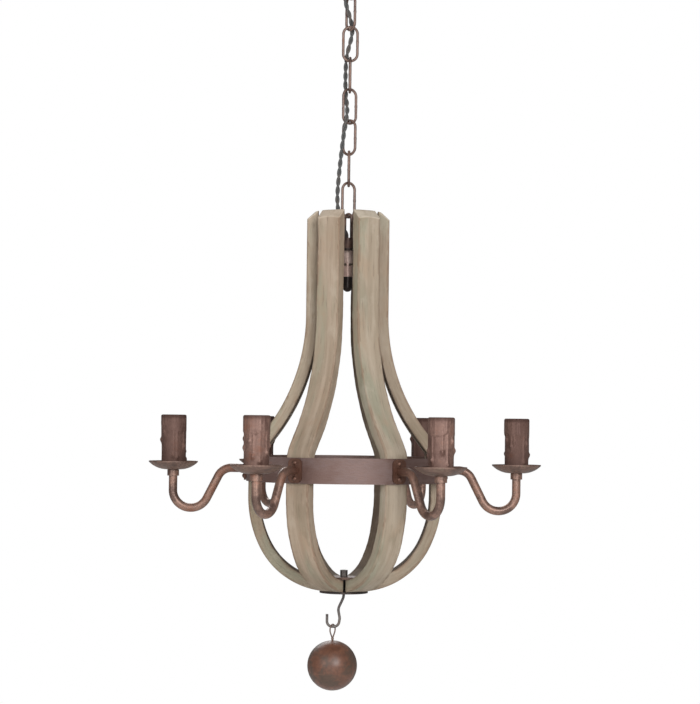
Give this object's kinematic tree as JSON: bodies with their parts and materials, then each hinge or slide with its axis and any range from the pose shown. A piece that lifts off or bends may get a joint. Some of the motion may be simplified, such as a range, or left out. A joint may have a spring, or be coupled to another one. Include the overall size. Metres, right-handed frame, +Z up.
{
  "type": "pendant light",
  "caption": "Chandelier of bent wooden staves in a bell shape, with a metal hoop, bent arms, candle sleeves and a hanging ball, on a chain.",
  "frame": {"origin": "centre of the ceiling bracket's top face, in the plane of the ceiling", "axes": "+Z up, +X to the right and -Y towards the viewer of the picture"},
  "size_m": [0.601, 0.5306, 1.1548],
  "materials": {
    "oak": "weathered, matt, grey-beige",
    "rusty_iron": "dark brown with rust bloom, matt",
    "chain_iron": "brown-grey, dull",
    "steel": "dark, dull",
    "brass": "plain",
    "cable_sheath": "dark brown, soft sheen",
    "holder_plastic": "black moulded",
    "terminal_plastic": "pale moulded",
    "ball_wood": "stained red-brown, satin"
  },
  "bodies": {
    "ceiling_fitting": {"ceiling_bracket": "steel", "terminal_block": "terminal_plastic", "canopy": "rusty_iron", "canopy_nipple": "brass", "nipple_nut": "steel", "canopy_loop": "chain_iron", "supply_cable": "cable_sheath"},
    "chain_link_1_body": {"chain_link_1": "chain_iron"},
    "chain_link_2_body": {"chain_link_2": "chain_iron"},
    "chain_link_3_body": {"chain_link_3": "chain_iron"},
    "chain_link_4_body": {"chain_link_4": "chain_iron"},
    "chain_link_5_body": {"chain_link_5": "chain_iron"},
    "chain_link_6_body": {"chain_link_6": "chain_iron"},
    "chain_link_7_body": {"chain_link_7": "chain_iron"},
    "fixture": {"hub_loop": "chain_iron", "hub_nipple": "brass", "hub_tube": "rusty_iron", "hub_cap": "rusty_iron", "splice_block": "terminal_plastic", "hub_spider": "rusty_iron", "spider_screws": "steel", "stave_1": "oak", "stave_2": "oak", "stave_3": "oak", "stave_4": "oak", "stave_5": "oak", "stave_6": "oak", "hoop": "rusty_iron", "arm_1": "rusty_iron", "arm_2": "rusty_iron", "arm_3": "rusty_iron", "arm_4": "rusty_iron", "arm_5": "rusty_iron", "arm_6": "rusty_iron", "arm_bolts": "rusty_iron", "arm_nuts": "rusty_iron", "pan_collars": "rusty_iron", "arm_nipples": "brass", "drip_pan_1": "rusty_iron", "drip_pan_2": "rusty_iron", "drip_pan_3": "rusty_iron", "drip_pan_4": "rusty_iron", "drip_pan_5": "rusty_iron", "drip_pan_6": "rusty_iron", "lampholders": "holder_plastic", "candle_sleeve_1": "rusty_iron", "candle_sleeve_2": "rusty_iron", "candle_sleeve_3": "rusty_iron", "candle_sleeve_4": "rusty_iron", "candle_sleeve_5": "rusty_iron", "candle_sleeve_6": "rusty_iron", "lamp_wires": "cable_sheath", "bottom_plate": "rusty_iron", "clamp_plate": "rusty_iron", "clamp_nut": "rusty_iron", "hook": "steel"},
    "ball_drop": {"ball_eye": "steel", "ball": "ball_wood"}
  },
  "joints": [
    {"name": "chain_swing_1", "type": "hinge", "parent": "ceiling_fitting", "child": "chain_link_1_body", "pos_m": [0, 0, -0.092], "axis": [0.8192, 0.5736, 0], "range_deg": [-20, 20], "deforming": ["supply_cable"]},
    {"name": "chain_swing_2", "type": "hinge", "parent": "chain_link_1_body", "child": "chain_link_2_body", "pos_m": [0, 0, -0.1402], "axis": [0.5736, -0.8192, 0], "range_deg": [-20, 20], "deforming": ["supply_cable"]},
    {"name": "chain_swing_3", "type": "hinge", "parent": "chain_link_2_body", "child": "chain_link_3_body", "pos_m": [0, 0, -0.1885], "axis": [1, 0, 0], "range_deg": [-20, 20], "deforming": ["supply_cable"]},
    {"name": "chain_swing_4", "type": "hinge", "parent": "chain_link_3_body", "child": "chain_link_4_body", "pos_m": [0, 0, -0.2368], "axis": [0, 1, 0], "range_deg": [-20, 20], "deforming": ["supply_cable"]},
    {"name": "chain_swing_5", "type": "hinge", "parent": "chain_link_4_body", "child": "chain_link_5_body", "pos_m": [0, 0, -0.2851], "axis": [0.8988, 0.4384, 0], "range_deg": [-20, 20], "deforming": ["supply_cable"]},
    {"name": "chain_swing_6", "type": "hinge", "parent": "chain_link_5_body", "child": "chain_link_6_body", "pos_m": [0, 0, -0.3334], "axis": [0.829, -0.5592, 0], "range_deg": [-20, 20], "deforming": ["supply_cable"]},
    {"name": "chain_swing_7", "type": "hinge", "parent": "chain_link_6_body", "child": "chain_link_7_body", "pos_m": [0, 0, -0.3817], "axis": [-0.0349, -0.9994, 0], "range_deg": [-20, 20], "deforming": ["supply_cable"]},
    {"name": "chain_swing_8", "type": "hinge", "parent": "chain_link_7_body", "child": "fixture", "pos_m": [0, 0, -0.43], "axis": [0.866, 0.5, 0], "range_deg": [-20, 20], "deforming": ["supply_cable"]},
    {"name": "ball_swing", "type": "hinge", "parent": "fixture", "child": "ball_drop", "pos_m": [-0.01625, 0, -1.0577], "axis": [1, 0, 0], "range_deg": [-40, 40]}
  ]
}
